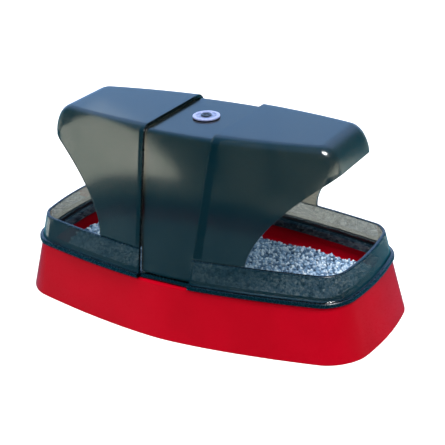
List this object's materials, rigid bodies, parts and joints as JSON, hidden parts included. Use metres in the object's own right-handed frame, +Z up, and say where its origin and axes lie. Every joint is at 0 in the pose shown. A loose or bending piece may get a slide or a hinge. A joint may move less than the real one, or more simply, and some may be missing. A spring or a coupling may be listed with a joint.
{
  "type": "hooded hamster litter tray",
  "caption": "Small-pet litter tray: a red tray with a flared skirt, a smoked see-through collar, and a two-part smoked hood over a centre band, open at both ends.",
  "frame": {"origin": "middle of the rectangle that the tray stands on", "axes": "+Z up, +X along the tray, through its two open ends"},
  "size_m": [0.1798, 0.0966, 0.0908],
  "materials": {
    "red_moulding": "moulded, satin gloss",
    "smoked_moulding": "smoked see-through, glossy",
    "litter_granules": "loose granules",
    "badge_moulding": "satin",
    "peg_moulding": "satin gloss"
  },
  "bodies": {
    "tray": {"tray": "red_moulding", "litter": "litter_granules"},
    "collar": {"collar": "smoked_moulding"},
    "band": {"centre_band": "smoked_moulding", "badge_ring": "badge_moulding", "badge_peg": "peg_moulding"},
    "left_hood": {"left_hood": "smoked_moulding"},
    "right_hood": {"right_hood": "smoked_moulding"}
  },
  "joints": [
    {"name": "collar_lift", "type": "slide", "parent": "tray", "child": "collar", "axis": [0, 0, 1], "range_m": [0, 0.04]},
    {"name": "band_lift", "type": "slide", "parent": "collar", "child": "band", "axis": [0, 0, 1], "range_m": [0, 0.05]},
    {"name": "left_hood_lift", "type": "slide", "parent": "band", "child": "left_hood", "axis": [0, 0, 1], "range_m": [0, 0.06]},
    {"name": "right_hood_lift", "type": "slide", "parent": "band", "child": "right_hood", "axis": [0, 0, 1], "range_m": [0, 0.06]}
  ]
}
